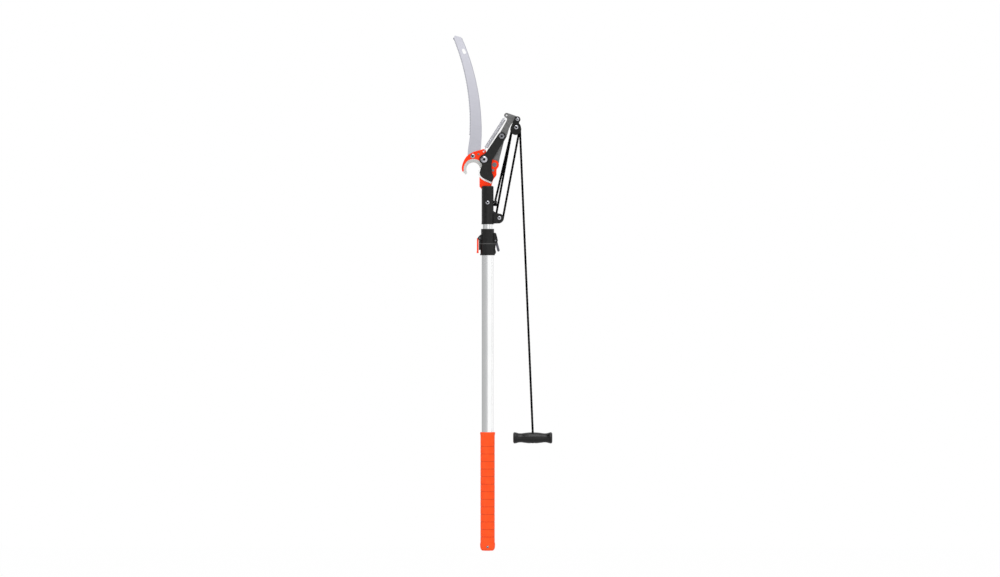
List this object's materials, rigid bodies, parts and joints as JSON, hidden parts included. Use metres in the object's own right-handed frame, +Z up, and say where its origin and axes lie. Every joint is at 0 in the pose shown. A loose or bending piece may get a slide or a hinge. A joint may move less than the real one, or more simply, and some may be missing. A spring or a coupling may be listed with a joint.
{
  "type": "tree pruner pole",
  "caption": "Telescopic tree pruner pole with a hook and bypass blade worked by a rope tackle and lever, a curved pruning saw, a cam lock collar and an orange grip.",
  "frame": {"origin": "centre of the butt end's flat face, on the pole's axis", "axes": "+Z up the pole towards the head, +X towards the rope and pull handle, -Y the front of the head, where the cutting blade lies"},
  "size_m": [0.2583, 0.0405, 1.339],
  "materials": {
    "aluminium_tube": "drawn and anodised aluminium, satin",
    "orange_grip": "moulded thermoplastic rubber, matt",
    "orange_lever": "moulded nylon, semi gloss",
    "orange_paint": "powder coated steel plate, semi gloss",
    "black_plastic": "glass filled nylon, fine texture",
    "black_blade": "non-stick coated steel with a ground edge",
    "black_cheek": "black painted steel",
    "grey_plastic": "moulded plastic",
    "saw_steel": "ground and polished carbon steel",
    "lever_steel": "grey phosphated steel",
    "zinc": "zinc plated steel",
    "spring_steel": "zinc plated spring wire",
    "sheave_nylon": "moulded nylon",
    "rope": "braided polyester"
  },
  "bodies": {
    "pole_base": {"outer_tube": "aluminium_tube", "grip": "orange_grip", "guide_sleeve": "sheave_nylon", "lock_collar": "black_plastic", "lock_pin": "zinc", "trigger_pin": "zinc", "latch_spring": "spring_steel"},
    "lock_lever": {"lock_lever": "orange_lever"},
    "latch_trigger": {"latch_trigger": "grey_plastic"},
    "extension": {"inner_tube": "aluminium_tube", "guide_plug": "sheave_nylon", "socket": "black_plastic", "cross_screw": "zinc", "cross_nut": "zinc", "hook_plate": "orange_paint", "saw_blade": "saw_steel", "saw_bolt": "zinc", "saw_nut": "zinc", "saw_rivet": "lever_steel", "blade_pivot_bolt": "zinc", "blade_pivot_washer": "zinc", "blade_pivot_nut": "zinc", "lever_pivot_rivet": "lever_steel", "lever_pivot_nut": "zinc", "stop_pin": "lever_steel", "lower_axle": "zinc", "rope_knot": "rope"},
    "cutting_blade": {"cutting_blade": "black_blade", "drive_bolt": "lever_steel", "drive_spacer": "zinc", "drive_nut": "lever_steel"},
    "pull_lever": {"pull_lever": "lever_steel"},
    "pulley_block": {"block_cheeks": "black_cheek", "block_rivet": "zinc", "block_bushes": "zinc", "block_axle": "zinc", "block_nut": "zinc", "rope_bends": "rope"},
    "front_sheave": {"front_sheave": "sheave_nylon"},
    "rear_sheave": {"rear_sheave": "sheave_nylon"},
    "lower_sheave": {"lower_sheave": "sheave_nylon"},
    "return_spring": {"return_spring": "spring_steel"},
    "spring_hook": {"spring_hook": "spring_steel"},
    "rope_standing_part": {"rope_standing_part": "rope"},
    "rope_loop": {"rope_loop": "rope"},
    "pull_line": {"rope_pull_line": "rope"},
    "pull_handle": {"pull_handle": "black_plastic", "handle_knot": "rope"}
  },
  "joints": [
    {"name": "pole_extend", "type": "slide", "parent": "pole_base", "child": "extension", "axis": [0, 0, 1], "range_m": [0, 0.6]},
    {"name": "lock_lever_flip", "type": "hinge", "parent": "pole_base", "child": "lock_lever", "pos_m": [-0.0204, 0, 0.8122], "axis": [0, 1, 0], "range_deg": [0, 110]},
    {"name": "latch_press", "type": "hinge", "parent": "pole_base", "child": "latch_trigger", "pos_m": [0.0205, 0, 0.806], "axis": [0, 1, 0], "range_deg": [0, 9], "stiffness_Nm_per_rad": 0.05, "springref_deg": -17.19},
    {"name": "lever_pull", "type": "hinge", "parent": "extension", "child": "pull_lever", "pos_m": [0.0179, 0.0046, 1.0028], "axis": [0, 1, 0], "range_deg": [0, 73], "stiffness_Nm_per_rad": 1.2, "springref_deg": -57.3, "deforming": ["return_spring", "spring_hook", "rope_standing_part", "rope_loop", "rope_pull_line"]},
    {"name": "blade_cut", "type": "hinge", "parent": "extension", "child": "cutting_blade", "pos_m": [-0.0091, -0.0046, 1.0166], "axis": [0, 1, 0], "range_deg": [0, 64]},
    {"name": "block_swing", "type": "hinge", "parent": "pull_lever", "child": "pulley_block", "pos_m": [0.0775, 0.0046, 1.1209], "axis": [0, 1, 0], "range_deg": [-40.8, 0]},
    {"name": "front_sheave_spin", "type": "hinge", "parent": "pulley_block", "child": "front_sheave", "pos_m": [0.0744, 0.0005, 1.1001], "axis": [0, 1, 0], "range_deg": [0, 1661.8]},
    {"name": "rear_sheave_spin", "type": "hinge", "parent": "pulley_block", "child": "rear_sheave", "pos_m": [0.0744, 0.0087, 1.1001], "axis": [0, 1, 0], "range_deg": [0, 454.5]},
    {"name": "lower_sheave_spin", "type": "hinge", "parent": "extension", "child": "lower_sheave", "pos_m": [0.0302, 0.0046, 0.8645], "axis": [0, 1, 0], "range_deg": [0, 1058.1]},
    {"name": "spring_swing", "type": "hinge", "parent": "extension", "child": "return_spring", "pos_m": [-0.0104, 0, 1.0371], "axis": [0, 1, 0], "range_deg": [0, 71.5]},
    {"name": "spring_stretch", "type": "slide", "parent": "return_spring", "child": "spring_hook", "axis": [0.5359, 0, 0.8442], "range_m": [0, 0.0556]},
    {"name": "standing_swing", "type": "hinge", "parent": "extension", "child": "rope_standing_part", "pos_m": [0.02, 0.0087, 0.9097], "axis": [0, 1, 0], "range_deg": [0, 49.9]},
    {"name": "loop_swing", "type": "hinge", "parent": "extension", "child": "rope_loop", "pos_m": [0.0302, 0.0046, 0.8645], "axis": [0, 1, 0], "range_deg": [0, 38]},
    {"name": "line_swing", "type": "hinge", "parent": "pulley_block", "child": "pull_line", "pos_m": [0.0744, 0.0005, 1.1001], "axis": [0, 1, 0], "range_deg": [-35.3, 0]},
    {"name": "handle_pull", "type": "slide", "parent": "pull_line", "child": "pull_handle", "axis": [0.0422, 0, -0.9991], "range_m": [0, 0.27738]}
  ],
  "couplings": [
    {"joint": "blade_cut", "follows": "lever_pull", "ratio": 0.82192},
    {"joint": "block_swing", "follows": "lever_pull", "ratio": -0.51926},
    {"joint": "loop_swing", "follows": "lever_pull", "ratio": 0.48231},
    {"joint": "standing_swing", "follows": "lever_pull", "ratio": 0.63749},
    {"joint": "spring_swing", "follows": "lever_pull", "ratio": 0.91913},
    {"joint": "spring_stretch", "follows": "lever_pull", "m_per_rad": 0.04007},
    {"joint": "line_swing", "follows": "lever_pull", "ratio": -0.44764},
    {"joint": "handle_pull", "follows": "lever_pull", "m_per_rad": 0.20584},
    {"joint": "rear_sheave_spin", "follows": "lever_pull", "ratio": 5.9161},
    {"joint": "lower_sheave_spin", "follows": "lever_pull", "ratio": 13.792},
    {"joint": "front_sheave_spin", "follows": "lever_pull", "ratio": 21.668}
  ]
}
